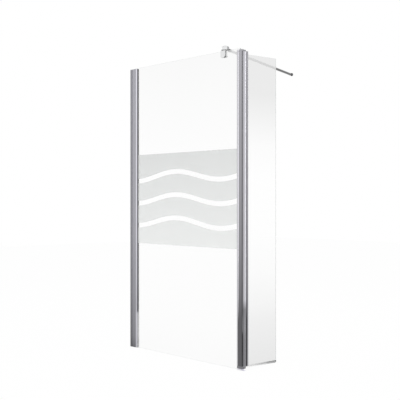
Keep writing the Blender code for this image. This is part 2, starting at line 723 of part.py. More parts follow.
def return_caps(finish, axis):
    """End caps of the return profile: plain with a plug at the top, slotted for the glass below."""
    inner = BARREL_RADIUS + RUN_GAP
    throat = PROFILE_HALF - (MITRE_SET - inner)
    rim = [
        (RETURN_MOUTH, RETURN_MOUTH_HALF, EDGE_ROUND),
        (RETURN_MOUTH - RETURN_BEVEL, PROFILE_HALF),
        (MITRE_SET, PROFILE_HALF),
        (inner, throat),
    ]
    top = prism("return_cap_top", [swapped(outline(mirrored(rim)))], RETURN_HIGH + FIT_GAP,
                RETURN_HIGH + FIT_GAP + CAP_THICK, finish, parent=axis)
    half = LIP_HALF - FIT_GAP
    near = RETURN_FLOOR + FIT_GAP
    far = RETURN_MOUTH - PROFILE_WALL
    plug = bmesh.new()
    add_prism(plug, [[(-half, near), (half, near), (half, far), (-half, far)]],
              RETURN_HIGH - CAP_PLUG, RETURN_HIGH + FIT_GAP + CAP_THICK / 2)
    combine(top, plug, "UNION")
    slot = [(RETURN_GLASS_START - FIT_GAP, SLOT_HALF), (RETURN_MOUTH, SLOT_HALF)]
    prism("return_cap_bottom", [swapped(outline(mirrored(slot + rim)))],
          RETURN_FOOT - FIT_GAP - CAP_THICK, RETURN_FOOT - FIT_GAP, finish, parent=axis)


def bush(name, flange, rim, into, finish, axis):
    """A flanged bush: its collar shows between profile and bracket, its sleeve sits in the bore."""
    bore = PIN_RADIUS + FIT_GAP
    sleeve = BARREL_BORE - FIT_GAP
    collar = BARREL_RADIUS - BUSH_INSET
    low, high = sorted((flange, rim))
    end = flange + into * BUSH_SLEEVE
    if into > 0:
        profile = [(bore, low), (collar - BUSH_ROUND, low), (collar, low + BUSH_ROUND),
                   (collar, high), (sleeve, high), (sleeve, end), (bore, end)]
    else:
        profile = [(bore, high), (collar - BUSH_ROUND, high), (collar, high - BUSH_ROUND),
                   (collar, low), (sleeve, low), (sleeve, end), (bore, end)]
    turned(name, profile, finish, parent=axis)


def bushes(finish, axis):
    """Top and bottom pivot bushes; the bottom one carries the return panel."""
    bush("pivot_bush_top", RETURN_HIGH + FIT_GAP, TOP_SEAT - RUN_GAP, -1, finish, axis)
    bush("pivot_bush_bottom", RETURN_FOOT - FIT_GAP, BOTTOM_BLOCK + RUN_GAP, 1, finish, axis)


def drip_seal(finish, axis):
    """Clip-on seal under the return glass: two legs, a floor and a leaning fin."""
    leg = SLOT_HALF + DRIP_WALL
    floor = RETURN_GLASS_BOTTOM - FIT_GAP
    under = floor - DRIP_WALL
    tip = under - DRIP_FIN
    rise = RETURN_GLASS_BOTTOM + DRIP_LEG
    section = [
        (rise, -leg), (rise, -SLOT_HALF), (floor, -SLOT_HALF), (floor, SLOT_HALF),
        (rise, SLOT_HALF), (rise, leg), (under, leg), (under, 0),
        (tip, -DRIP_FIN_LEAN), (tip, -DRIP_FIN_LEAN - DRIP_WALL), (under, -DRIP_WALL), (under, -leg),
    ]
    prism("return_drip_seal", [section], RETURN_MOUTH + DRIP_INSET, RETURN_REACH, finish, ALONG_Y, axis)


# Clamp on the top edge of the large panel

def clamp_saddle(finish):
    """Jaws and bridge in one piece: a rounded front outline, slotted for glass, pads and plate."""
    left = -CLAMP_FROM_AXIS - CLAMP_WIDTH / 2
    right = -CLAMP_FROM_AXIS + CLAMP_WIDTH / 2
    foot = GLASS_TOP - CLAMP_DROP
    front = outline([
        (foot, left, CLAMP_FOOT_ROUND), (SADDLE_TOP, left, CLAMP_HEAD_ROUND),
        (SADDLE_TOP, right, CLAMP_HEAD_ROUND), (foot, right, CLAMP_FOOT_ROUND),
    ])
    saddle = prism("clamp_saddle", [front], OUTER_JAW_Y - CLAMP_OUTER, INNER_JAW_Y + CLAMP_INNER,
                   finish, ALONG_Y)
    soften(saddle, CLAMP_BEVEL, 2)
    slot = bmesh.new()
    margin = CLAMP_WIDTH / 2 + CUT_OVERRUN
    add_prism(slot, [[(OUTER_JAW_Y, foot - CUT_OVERRUN), (INNER_JAW_Y, foot - CUT_OVERRUN),
                      (INNER_JAW_Y, GLASS_TOP + FIT_GAP), (OUTER_JAW_Y, GLASS_TOP + FIT_GAP)]],
              -CLAMP_FROM_AXIS - margin, -CLAMP_FROM_AXIS + margin, ALONG_X)
    combine(saddle, slot, "DIFFERENCE")
    holes = bmesh.new()
    for x in grub_places():
        add_prism(holes, [circle(GRUB_RADIUS + FIT_GAP, (GLASS_TOP - GRUB_DROP, x), SMALL_STEPS)],
                  INNER_JAW_Y - CUT_OVERRUN / 2, INNER_JAW_Y + CLAMP_INNER + CUT_OVERRUN, ALONG_Y)
    add_prism(holes, [circle(STUD_RADIUS + FIT_GAP, (-CLAMP_FROM_AXIS, HUB_Y), SMALL_STEPS)],
              SADDLE_TOP - STUD_ROOT - FIT_GAP, SADDLE_TOP + CUT_OVERRUN)
    combine(saddle, holes, "DIFFERENCE")


def grub_places():
    """The clamp's two grub screws along X."""
    return [-CLAMP_FROM_AXIS - GRUB_SPREAD, -CLAMP_FROM_AXIS + GRUB_SPREAD]


def clamp_sheet(name, low, high, finish):
    """A thin rounded sheet between jaw and glass."""
    half = CLAMP_WIDTH / 2 - PAD_MARGIN
    foot = GLASS_TOP - CLAMP_DROP + PAD_MARGIN
    top = GLASS_TOP - FIT_GAP
    bend = CLAMP_FOOT_ROUND - PAD_MARGIN
    left = -CLAMP_FROM_AXIS - half
    right = -CLAMP_FROM_AXIS + half
    sheet = outline([(foot, left, bend), (top, left), (top, right), (foot, right, bend)])
    prism(name, [sheet], low, high, finish, ALONG_Y)


def clamp_inside(rubber, steel):
    """Pads on both faces of the glass, the pressure plate and the grub screws that push it."""
    clamp_sheet("clamp_pad_outer", -SLOT_HALF - PAD_THICK, -SLOT_HALF, rubber)
    clamp_sheet("clamp_pad_inner", SLOT_HALF, SLOT_HALF + PAD_THICK, rubber)
    plate = SLOT_HALF + PAD_THICK + FIT_GAP
    clamp_sheet("clamp_pressure_plate", plate, plate + PLATE_THICK, steel)
    start = plate + PLATE_THICK + FIT_GAP
    end = INNER_JAW_Y + CLAMP_INNER - FIT_GAP
    grub = [(0, start), (GRUB_RADIUS - PIN_CHAMFER, start), (GRUB_RADIUS, start + PIN_CHAMFER),
            (GRUB_RADIUS, end), (0, end)]
    outward = Matrix.Rotation(-math.pi / 2, 4, "X")
    for number, x in enumerate(grub_places(), 1):
        place = Matrix.Translation((x, 0, GLASS_TOP - GRUB_DROP)) @ outward
        screw = turned(f"clamp_grub_screw_{number}", grub, steel, place, steps=SMALL_STEPS)
        socket = bmesh.new()
        add_prism(socket, [circle(GRUB_HEX_RADIUS, steps=6)], end - HEX_DEPTH, end + CUT_OVERRUN, place)
        combine(screw, socket, "DIFFERENCE")


# Stabiliser bar, in the frame of its swivel axis: local Y along the bar, Z zero at the bar

def swivel_stud(finish):
    """Shouldered stud in the saddle, on which the hub turns."""
    low = SADDLE_TOP - STUD_ROOT
    seat = BAR_HEIGHT + HUB_SHELF + FIT_GAP
    stud = [(0, low), (STUD_RADIUS - PIN_CHAMFER, low), (STUD_RADIUS, low + PIN_CHAMFER),
            (STUD_RADIUS, seat), (STUD_HEAD_RADIUS, seat), (STUD_HEAD_RADIUS, seat + STUD_HEAD_HEIGHT),
            (0, seat + STUD_HEAD_HEIGHT)]
    body = turned("clamp_swivel_stud", stud, finish, Matrix.Translation((-CLAMP_FROM_AXIS, HUB_Y, 0)))
    socket = bmesh.new()
    hex_socket(socket, Matrix.Translation((-CLAMP_FROM_AXIS, HUB_Y, seat + STUD_HEAD_HEIGHT)))
    combine(body, socket, "DIFFERENCE")


def bar_hub(finish, axis):
    """Round knuckle on the stud with a tapered collar for the tube."""
    top = HUB_HALF
    knuckle = [(0, -top), (HUB_RADIUS - HUB_ROUND, -top), (HUB_RADIUS, -top + HUB_ROUND),
               (HUB_RADIUS, top - HUB_ROUND / 2), (HUB_RADIUS - HUB_ROUND / 2, top), (0, top)]
    hub = turned("bar_hub", knuckle, finish, parent=axis)
    lengthwise = Matrix.Rotation(-math.pi / 2, 4, "X")
    collar = [(0, COLLAR_START), (COLLAR_RADIUS, COLLAR_START), (COLLAR_RADIUS, HUB_RADIUS),
              (COLLAR_TIP_RADIUS, COLLAR_END - PIN_CHAMFER),
              (COLLAR_TIP_RADIUS - PIN_CHAMFER / 2, COLLAR_END), (0, COLLAR_END)]
    neck = bmesh.new()
    add_turned(neck, collar, lengthwise)
    combine(hub, neck, "UNION")
    clear = STUD_RADIUS + FIT_GAP
    bed = STUD_HEAD_RADIUS + 2 * FIT_GAP
    bore = [(0, -top - CUT_OVERRUN), (clear, -top - CUT_OVERRUN), (clear, HUB_SHELF), (bed, HUB_SHELF),
            (bed, top + CUT_OVERRUN), (0, top + CUT_OVERRUN)]
    cuts = bmesh.new()
    add_turned(cuts, bore)
    tube = BAR_RADIUS + FIT_GAP
    socket = [(0, TUBE_START - FIT_GAP), (tube, TUBE_START - FIT_GAP), (tube, COLLAR_END + CUT_OVERRUN),
              (0, COLLAR_END + CUT_OVERRUN)]
    add_turned(cuts, socket, lengthwise)
    combine(hub, cuts, "DIFFERENCE")
    hole = bmesh.new()
    add_prism(hole, [circle(SET_SCREW_RADIUS + FIT_GAP, (0, HUB_SCREW_AT), SMALL_STEPS)],
              -COLLAR_RADIUS - CUT_OVERRUN, -BAR_RADIUS)
    combine(hub, hole, "DIFFERENCE")


def hub_cap(finish, axis):
    """Low dome over the stud's head, with a spigot in the hub's bore."""
    base = HUB_HALF + FIT_GAP
    spigot = STUD_HEAD_RADIUS + FIT_GAP
    under = HUB_SHELF + STUD_HEAD_HEIGHT + 2 * FIT_GAP
    sphere = (CAP_RADIUS ** 2 + CAP_DOME ** 2) / (2 * CAP_DOME)
    sweep = math.asin(CAP_RADIUS / sphere)
    turns = [sweep * (1 - i / SMALL_STEPS * 2) for i in range(SMALL_STEPS // 2 + 1)]
    crown = [(sphere * math.sin(a), base + CAP_DOME - sphere * (1 - math.cos(a))) for a in turns]
    dome = [(0, under), (spigot, under), (spigot, base)] + crown[:-1] + [(0, base + CAP_DOME)]
    turned("hub_cap", dome, finish, parent=axis)


def stabiliser_bar(finish, axis):
    """The round tube from the hub's collar to the fork."""
    inner = BAR_RADIUS - BAR_WALL
    end = BAR_SPAN - FORK_HEAD - FIT_GAP
    tube = [(inner, TUBE_START), (BAR_RADIUS, TUBE_START), (BAR_RADIUS, end), (inner, end)]
    bar = turned("stabiliser_bar", tube, finish, Matrix.Rotation(-math.pi / 2, 4, "X"), axis)
    holes = bmesh.new()
    for place in (HUB_SCREW_AT, fork_screw_at()):
        add_prism(holes, [circle(SET_SCREW_RADIUS + FIT_GAP, (0, place), SMALL_STEPS)],
                  -BAR_RADIUS - CUT_OVERRUN, 0)
    combine(bar, holes, "DIFFERENCE")


def fork_screw_at():
    """Distance along the bar of the screw that holds the fork's spigot."""
    return BAR_SPAN - FORK_HEAD - FORK_SPIGOT / 2


def set_screws(finish, axis):
    """Grub screws under the bar: one through the hub's collar, one through the tube into the fork."""
    inner = -BAR_RADIUS + BAR_WALL
    for name, place, low, high in (
            ("hub_set_screw", HUB_SCREW_AT, -COLLAR_TIP_RADIUS, inner + SET_SCREW_NOSE),
            ("fork_set_screw", fork_screw_at(), -BAR_RADIUS, inner + FIT_GAP + SET_SCREW_RADIUS)):
        screw = [(0, low), (SET_SCREW_RADIUS, low), (SET_SCREW_RADIUS, high), (0, high)]
        turned(name, screw, finish, Matrix.Translation((0, place, 0)), axis, SMALL_STEPS)


def bar_end_fork(finish, axis):
    """Spigot in the tube and a forked head that holds the rosette's tongue."""
    lengthwise = Matrix.Rotation(-math.pi / 2, 4, "X")
    spigot = BAR_RADIUS - BAR_WALL - FIT_GAP
    start = BAR_SPAN - FORK_HEAD - FORK_SPIGOT
    face = BAR_SPAN - FORK_HEAD
    end = BAR_SPAN + FORK_END
    shape = [(0, start), (spigot - PIN_CHAMFER, start), (spigot, start + PIN_CHAMFER), (spigot, face),
             (FORK_RADIUS - PIN_CHAMFER, face), (FORK_RADIUS, face + PIN_CHAMFER), (FORK_RADIUS, end),
             (0, end)]
    fork = turned("bar_end_fork", shape, finish, lengthwise, axis)
    keep = bmesh.new()
    wide = FORK_RADIUS + FIT_GAP
    nose = arc(FORK_END, math.pi, 0, (0, BAR_SPAN), SMALL_STEPS)
    rear = [(wide, face), (wide, start - CUT_OVERRUN), (-wide, start - CUT_OVERRUN), (-wide, face)]
    add_prism(keep, [nose + rear], -FORK_RADIUS - CUT_OVERRUN, FORK_RADIUS + CUT_OVERRUN)
    combine(fork, keep, "INTERSECT")
    cuts = bmesh.new()
    slot = TONGUE_THICK / 2 + SLIDE_GAP
    add_prism(cuts, [[(-wide, BAR_SPAN - FORK_SLOT), (wide, BAR_SPAN - FORK_SLOT),
                      (wide, end + CUT_OVERRUN), (-wide, end + CUT_OVERRUN)]], -slot, slot)
    combine(fork, cuts, "DIFFERENCE")
    holes = bmesh.new()
    add_prism(holes, [circle(SWIVEL_PIN_RADIUS + FIT_GAP, (0, BAR_SPAN), SMALL_STEPS)],
              -FORK_RADIUS - CUT_OVERRUN, FORK_RADIUS + CUT_OVERRUN)
    add_prism(holes, [circle(SET_SCREW_RADIUS + FIT_GAP, (0, fork_screw_at()), SMALL_STEPS)],
              -BAR_RADIUS - CUT_OVERRUN, -BAR_RADIUS + BAR_WALL + 2 * FIT_GAP + SET_SCREW_RADIUS)
    combine(fork, holes, "DIFFERENCE")


def swivel_pin(finish, axis):
    """Riveted pin through fork and tongue."""
    half = FORK_RADIUS - FIT_GAP
    dome = SWIVEL_PIN_RADIUS / 2
    pin = [(0, -half - SWIVEL_PIN_DOME), (dome, -half - SWIVEL_PIN_DOME), (SWIVEL_PIN_RADIUS, -half),
           (SWIVEL_PIN_RADIUS, half), (dome, half + SWIVEL_PIN_DOME), (0, half + SWIVEL_PIN_DOME)]
    turned("bar_swivel_pin", pin, finish, Matrix.Translation((0, BAR_SPAN, 0)), axis, SMALL_STEPS)


def wall_rosette(finish, axis):
    """Round plate for the far wall with a tongue for the fork, on the swivel pin's axis."""
    lengthwise = Matrix.Rotation(-math.pi / 2, 4, "X")
    front = ROSETTE_REACH - ROSETTE_THICK
    plate = [(0, front), (ROSETTE_RADIUS - ROSETTE_ROUND, front), (ROSETTE_RADIUS, front + ROSETTE_ROUND),
             (ROSETTE_RADIUS, ROSETTE_REACH), (0, ROSETTE_REACH)]
    rosette = turned("wall_rosette", plate, finish, lengthwise, axis)
    tongue = bmesh.new()
    nose = arc(TONGUE_HALF, math.pi, math.tau, steps=SMALL_STEPS)
    back = front + ROSETTE_THICK / 2
    add_prism(tongue, [nose + [(TONGUE_HALF, back), (-TONGUE_HALF, back)]],
              -TONGUE_THICK / 2, TONGUE_THICK / 2)
    combine(rosette, tongue, "UNION")
    cuts = bmesh.new()
    add_prism(cuts, [circle(SWIVEL_PIN_RADIUS + FIT_GAP, steps=SMALL_STEPS)], -TONGUE_THICK, TONGUE_THICK)
    anchor = [(0, ROSETTE_REACH - ANCHOR_DEPTH), (ANCHOR_RADIUS, ROSETTE_REACH - ANCHOR_DEPTH),
              (ANCHOR_RADIUS, ROSETTE_REACH + CUT_OVERRUN), (0, ROSETTE_REACH + CUT_OVERRUN)]
    add_turned(cuts, anchor, lengthwise, SMALL_STEPS)
    combine(rosette, cuts, "DIFFERENCE")


def build_fixed_side(metal, chrome, steel, glass, rubber, plastic):
    """Everything that is fastened to the wall."""
    wall_channel(metal)
    wall_profile(metal)
    wall_cap(chrome)
    side_fixings(steel, plastic)
    main_glass(glass)
    plan = gasket_outline(WALL_MOUTH_X, -1, WALL_MOUTH_HALF)
    gaskets("wall", plan, GLASS_BOTTOM, WALL_FRAME_TOP, rubber)
    setting_blocks(plastic)
    corner_profile(metal)
    plan = gasket_outline(-CORNER_REACH, 1, CORNER_MOUTH_HALF)
    gaskets("corner", plan, CORNER_LOW, CORNER_HIGH, rubber)
    column_seals(rubber)
    bracket("pivot_bracket_top", TOP_SEAT, COLUMN_TOP, 1, chrome)
    bracket("pivot_bracket_bottom", 0, BOTTOM_BLOCK, -1, chrome)
    port_screws("bracket_screw_top", COLUMN_TOP, 1, TOP_BLOCK, steel)
    port_screws("bracket_screw_bottom", 0, -1, BOTTOM_BLOCK, steel)
    pivot_pins(steel)
    clamp_saddle(chrome)
    clamp_inside(rubber, steel)
    swivel_stud(steel)


def build_return_panel(metal, chrome, glass, rubber, plastic, vinyl):
    """Everything that turns on the column."""
    axis = empty("return_axis", (0, 0, 0), 0)
    return_profile(metal, axis)
    return_glass(glass, axis)
    return_caps(chrome, axis)
    bushes(plastic, axis)
    plan = gasket_outline(RETURN_MOUTH, -1, RETURN_MOUTH_HALF)
    gaskets("return", plan, RETURN_FOOT, RETURN_GLASS_TOP, rubber, QUARTER_TURN, axis)
    drip_seal(vinyl, axis)


def build_bar(chrome, steel):
    """Everything that swivels on the clamp, and the rosette that swivels at the bar's end."""
    axis = empty("bar_axis", (-CLAMP_FROM_AXIS, HUB_Y, BAR_HEIGHT), BAR_ANGLE)
    bar_hub(chrome, axis)
    hub_cap(chrome, axis)
    stabiliser_bar(chrome, axis)
    set_screws(steel, axis)
    bar_end_fork(chrome, axis)
    swivel_pin(steel, axis)
    rosette_axis = empty("rosette_axis", (0, BAR_SPAN, 0), -BAR_ANGLE, axis)
    wall_rosette(chrome, rosette_axis)


def main():
    """Build the screen."""
    clear_scene()
    metal = make_material("satin_aluminium", (0.62, 0.63, 0.65), 1.0, 0.28)
    chrome = make_material("polished_chrome", (0.78, 0.79, 0.80), 1.0, 0.10)
    steel = make_material("stainless_steel", (0.55, 0.55, 0.56), 1.0, 0.35)
    glass = make_material("clear_glass", (0.93, 0.97, 0.95), 0.0, 0.02, 1.0)
    rubber = make_material("black_rubber", (0.03, 0.03, 0.035), 0.0, 0.6)
    plastic = make_material("grey_plastic", (0.45, 0.46, 0.47), 0.0, 0.4)
    vinyl = make_material("clear_vinyl", (0.80, 0.82, 0.82), 0.0, 0.3, 0.6)
    build_fixed_side(metal, chrome, steel, glass, rubber, plastic)
    build_return_panel(metal, chrome, glass, rubber, plastic, vinyl)
    build_bar(chrome, steel)
    bpy.context.view_layer.update()


main()
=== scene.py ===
"""The looks of the walk-in shower screen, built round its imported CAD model.

Metres, +Z up, in the frame of the CAD model: the column's turning axis is the Z axis, the fixed
panel runs along -X, and the return panel along +Y.
"""
import json
import math

import bmesh
import bpy
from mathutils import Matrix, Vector


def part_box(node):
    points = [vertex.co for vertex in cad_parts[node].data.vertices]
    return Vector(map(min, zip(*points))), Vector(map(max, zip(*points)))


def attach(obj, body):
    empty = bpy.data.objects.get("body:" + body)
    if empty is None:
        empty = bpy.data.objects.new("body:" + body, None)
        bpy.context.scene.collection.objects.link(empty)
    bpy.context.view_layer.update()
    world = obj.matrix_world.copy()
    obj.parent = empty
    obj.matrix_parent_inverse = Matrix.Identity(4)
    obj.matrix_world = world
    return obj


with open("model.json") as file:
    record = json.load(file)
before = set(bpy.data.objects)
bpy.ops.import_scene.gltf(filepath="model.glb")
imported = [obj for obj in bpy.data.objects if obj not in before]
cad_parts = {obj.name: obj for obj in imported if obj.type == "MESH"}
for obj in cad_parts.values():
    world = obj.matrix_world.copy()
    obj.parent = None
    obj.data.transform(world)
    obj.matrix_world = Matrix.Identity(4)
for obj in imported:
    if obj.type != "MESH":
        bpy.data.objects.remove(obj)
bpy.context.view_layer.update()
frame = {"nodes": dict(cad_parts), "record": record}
NODES = frame["nodes"]

# Camera, matched to the photograph
CAMERA_PLACE = (3.8884, -3.6511, 1.0561)
CAMERA_YAW = math.radians(49.745)
CAMERA_REACH = 100.0
FOCAL_PIXELS = 861.7
IMAGE_PIXELS = 400
SENSOR_MM = 36.0

# Frosted band on the large panel
BAND_LOW = 0.748
BAND_HIGH = 1.377
BAND_MARGIN = 0.0012
BAND_LIFT = 0.00012
STRIPE_COUNT = 3
STRIPE_WIDTH = 0.032
WAVE_HEIGHT = 0.030
WAVE_LENGTH = 0.900
WAVE_STEPS = 120

# Glass; a face is one of a pane's broad faces where its normal has this size along the pane's axis
BROAD_FACE = (0.50, 0.51)
GLASS_IOR = 1.45
SHEEN_COLOUR = (0.992, 0.993, 0.991, 1.0)
SHEEN_ROUGH = 0.10
SHADOW_TINT = (0.985, 0.99, 0.9875, 1.0)
EDGE_COLOUR = (0.36, 0.42, 0.40)
EDGE_ROUGH = 0.4
EDGE_COVER = 0.90

# Studio
WHITE = (1.0, 1.0, 1.0, 1.0)
FLOOR_COLOUR = (0.92, 0.92, 0.92, 1.0)
FLOOR_ROUGH = 0.5
FLOOR_HALF = 14.0
FLOOR_DROP = 0.0006
FLOOR_GLOW = 0.97
WORLD_LEVEL = 0.72

# Area lights: name, place, point aimed at, width, length and power
LIGHTS = [
    ("light_over", (0.6, -1.6, 4.6), (-0.4, 0.2, 1.0), 3.0, 3.0, 70.0),
    ("light_left", (-4.6, -1.4, 1.7), (-0.4, 0.0, 1.1), 1.2, 2.8, 14.0),
    ("light_back", (1.2, 4.6, 1.8), (-0.1, 0.1, 1.2), 1.4, 2.8, 40.0),
]

# Textures: scale of each noise, its stretch on each axis and its detail; the levels or the span of
# the noise over which a tone varies; and the strength and depth of the bumps
EVEN_STRETCH = (1.0, 1.0, 1.0)
DRAWN_LINES = (700.0, (1.0, 1.0, 0.002), 3.0)
PLATING_CLOUD = (60.0, EVEN_STRETCH, 3.0)
WIPING_MARKS = (900.0, (1.0, 1.0, 0.2), 2.0)
RUBBER_GRIT = (1400.0, (1.0, 1.0, 0.1), 3.0)
GLASS_FILM = (2.2, (1.0, 1.0, 0.6), 3.0)
GROUND_EDGE = (700.0, EVEN_STRETCH, 2.0)
VINYL_STREAK = (300.0, (1.0, 0.03, 1.0), 3.0)
FROST_GRAIN = (2600.0, EVEN_STRETCH, 2.0)
FROST_CLOUD = (5.0, EVEN_STRETCH, 3.0)
FILM_SHADES = [(0.30, 0.996), (0.75, 1.0)]
FROST_SHADES = [(0.3, 0.985), (0.7, 1.0)]
LINE_SPAN = (0.2, 0.8)
NOISE_SPAN = (0.3, 0.7)
LINE_BUMP = 0.05
GRIT_BUMP = 0.15
GRAIN_BUMP = 0.10
BUMP_DISTANCE = 0.0002

# Extruded aluminium
COLUMN_TINT = (0.984, 0.973, 1.035)
WALL_TINT = (0.977, 0.97, 1.055)
METAL_ROUGH = 0.30

# Stretches, from (axis, low, high), over which the places across a piece run from 0 to 1
COLUMN_SIDE = ("X", -0.060, 0.0)
RETURN_SIDE = ("Y", -0.010, 0.030)
WALL_SIDE = ("X", -1.185, -1.105)
FOOT_SIDE = ("Z", 0.0, 0.030)
HUB_SIDE = ("Y", 0.004, 0.093)
DRIP_SIDE = ("Y", 0.02, 0.275)
BAND_SIDE = ("Z", BAND_LOW, BAND_HIGH)

# Painted light by height, in (share, level) stops: painted shade, highlights and reflections,
# mostly darker towards the bottom; the share runs from 0 at the floor to 1 at TONE_HEIGHT
TONE_HEIGHT = 2.0
PLAIN_PAINTED_SHADE = [(0.0, 0.27), (0.16, 0.28), (0.24, 0.43), (0.40, 0.63), (0.60, 0.77), (0.75, 0.84),
              (1.0, 1.0)]
BEVEL_PAINTED_LIGHT = [(0.0, 0.12), (0.15, 0.09), (0.185, 0.56), (0.22, 0.94), (0.34, 1.0), (0.60, 1.0),
              (0.75, 0.92)]
COLUMN_EDGE_PAINTED_LIGHT = [(0.0, 0.96), (0.20, 0.96), (0.45, 0.51), (1.0, 0.57)]
BARREL_PAINTED_LIGHT = [(0.0, 0.37), (0.10, 0.38), (0.13, 0.46), (0.19, 0.40), (0.22, 0.90), (1.0, 0.95)]
RETURN_PAINTED_SHADE = [(0.0, 0.155), (0.16, 0.175), (0.21, 0.50), (0.28, 0.66), (1.0, 1.0)]
RETURN_FLAT_PAINTED_LIGHT = [(0.0, 0.86), (0.12, 0.74), (0.30, 0.76), (1.0, 0.97)]
WALL_PAINTED_SHADE = [(0.0, 0.46), (0.04, 0.72), (0.20, 0.90), (1.0, 0.97)]
CHANNEL_PAINTED_SHADE = [(0.0, 0.32), (0.20, 0.66), (0.50, 0.84), (1.0, 0.96)]
WALL_BEVEL_PAINTED_LIGHT = [(0.0, 0.68), (0.115, 0.83), (0.13, 0.68), (0.16, 0.64), (0.24, 0.76),
                   (0.50, 0.93), (1.0, 1.0)]
# Column seal: painted shade low down, a painted glint above it, and half its tone higher up
SEAL_PAINTED_SHADE_AND_GLINT = [(0.02, 0.15), (0.06, 0.0), (0.112, 0.0), (0.125, 1.0), (0.155, 1.0), (0.175, 0.50)]
# Wall gasket: pale near the floor, a painted reflection, and near black above
WALL_RUBBER_PAINTED_REFLECTION = [(0.124, 1.0), (0.130, 0.0), (0.20, 0.0), (0.27, 0.08)]
# Glass tints by height: painted reflections, darker towards the top and bottom of each pane
MAIN_GLASS_PAINTED_REFLECTION = [(0.0, 0.95), (0.15, 0.98), (0.35, 1.0), (0.55, 1.0), (1.0, 0.905)]
RETURN_GLASS_PAINTED_REFLECTION = [(0.0, 0.53), (0.15, 0.70), (0.20, 0.81), (0.30, 0.95), (0.40, 1.0),
                     (0.60, 1.0), (0.70, 0.94), (0.86, 0.60), (1.0, 0.59)]


# Node helpers

def new_material(name):
    """An empty node material and its tree."""
    material = bpy.data.materials.new(name)
    material.use_nodes = True
    tree = material.node_tree
    tree.nodes.clear()
    return material, tree


def wire(tree, source, target):
    """Link one socket to another, or set a plain value on it."""
    if isinstance(source, bpy.types.NodeSocket):
        tree.links.new(source, target)
    else:
        target.default_value = source


def calculate(tree, operation, *values):
    """The result of a math node."""
    node = tree.nodes.new("ShaderNodeMath")
    node.operation = operation
    for value, socket in zip(values, node.inputs):
        wire(tree, value, socket)
    return node.outputs["Value"]


def remap(tree, source, low, high, to_low, to_high):
    """A clamped linear map of a value."""
    node = tree.nodes.new("ShaderNodeMapRange")
    ends = {"From Min": low, "From Max": high, "To Min": to_low, "To Max": to_high}
    for name, value in ends.items():
        wire(tree, value, node.inputs[name])
    wire(tree, source, node.inputs["Value"])
    return node.outputs["Result"]


def ramp(tree, source, stops):
    """A colour ramp from (place, colour) stops, fed by a value."""
    node = tree.nodes.new("ShaderNodeValToRGB")
    elements = node.color_ramp.elements
    while len(elements) > 1:
        elements.remove(elements[-1])
    elements[0].position = stops[0][0]
    elements[0].color = (*stops[0][1], 1.0)
    for place, colour in stops[1:]:
        elements.new(place).color = (*colour, 1.0)
    wire(tree, source, node.inputs["Fac"])
    return node.outputs["Color"]


def grey_ramp(tree, source, stops):
    """A ramp of neutral tones from (place, level) stops."""
    return ramp(tree, source, [(place, (level, level, level)) for place, level in stops])


def mottled(tree, source, colour, dark, light=1.0):
    """A colour that a noise varies from a dark to a light share of it."""
    shades = [tuple(channel * share for channel in colour) for share in (dark, light)]
    return ramp(tree, source, list(zip(NOISE_SPAN, shades)))


def varied(tree, source, level, low, high, span=NOISE_SPAN):
    """A value that a noise varies from a low to a high share of it."""
    return remap(tree, source, *span, level * low, level * high)


def mix_colours(tree, share, first, second, blend="MIX"):
    """Two colours mixed by a share."""
    node = tree.nodes.new("ShaderNodeMix")
    node.data_type = "RGBA"
    node.blend_type = blend
    for name, value in {"Factor": share, "A": first, "B": second}.items():
        wire(tree, value, node.inputs[name])
    return node.outputs["Result"]


def multiply(tree, first, second):
    """The product of two colours."""
    return mix_colours(tree, 1.0, first, second, "MULTIPLY")


def mix_shaders(tree, share, first, second):
    """Two shaders mixed by a share."""
    node = tree.nodes.new("ShaderNodeMixShader")
    for value, socket in zip((share, first, second), node.inputs):
        wire(tree, value, socket)
    return node.outputs["Shader"]


def coordinate(tree, kind):
    """X, Y and Z in the object's own frame, of a place (Object) or of a direction (Normal)."""
    place = tree.nodes.new("ShaderNodeTexCoord")
    split = tree.nodes.new("ShaderNodeSeparateXYZ")
    wire(tree, place.outputs[kind], split.inputs["Vector"])
    return split.outputs


def height_share(tree):
    """Height from 0 at the floor to 1 at TONE_HEIGHT."""
    return remap(tree, coordinate(tree, "Object")["Z"], 0.0, TONE_HEIGHT, 0.0, 1.0)


def across(tree, side):
    """Share of the way along one axis of the object's own frame, from (axis, low, high)."""
    axis, low, high = side
    return remap(tree, coordinate(tree, "Object")[axis], low, high, 0.0, 1.0)


def facing(tree):
    """Heading of a face round the vertical: 0 for -X, 0.25 for -Y, 0.5 for +X, 0.75 for +Y."""
    normal = coordinate(tree, "Normal")
    turn = calculate(tree, "ARCTAN2", normal["Y"], normal["X"])
    return remap(tree, turn, -math.pi, math.pi, 0.0, 1.0)


def noise(tree, texture):
    """Noise in the object's own metres, from (scale, stretch on each axis, detail)."""
    scale, stretch, detail = texture
    place = tree.nodes.new("ShaderNodeTexCoord")
    mapping = tree.nodes.new("ShaderNodeMapping")
    wire(tree, stretch, mapping.inputs["Scale"])
    wire(tree, place.outputs["Object"], mapping.inputs["Vector"])
    node = tree.nodes.new("ShaderNodeTexNoise")
    wire(tree, scale, node.inputs["Scale"])
    wire(tree, detail, node.inputs["Detail"])
    wire(tree, mapping.outputs["Vector"], node.inputs["Vector"])
    return node.outputs["Fac"]


def bump(tree, source, strength):
    """A normal from a height value."""
    node = tree.nodes.new("ShaderNodeBump")
    wire(tree, strength, node.inputs["Strength"])
    wire(tree, BUMP_DISTANCE, node.inputs["Distance"])
    wire(tree, source, node.inputs["Height"])
    return node.outputs["Normal"]


def surface(tree, **inputs):
    """A principled surface with the given inputs, by their names with _ for a space."""
    node = tree.nodes.new("ShaderNodeBsdfPrincipled")
    for name, value in inputs.items():
        wire(tree, value, node.inputs[name.replace("_", " ")])
    return node.outputs["BSDF"]


def see_through(tree, colour=WHITE):
    """A clear film with a tint."""
    node = tree.nodes.new("ShaderNodeBsdfTransparent")
    wire(tree, colour, node.inputs["Color"])
    return node.outputs["BSDF"]


def output(tree, shader):
    """End the tree in a material output."""
    node = tree.nodes.new("ShaderNodeOutputMaterial")
    wire(tree, shader, node.inputs["Surface"])


# Materials

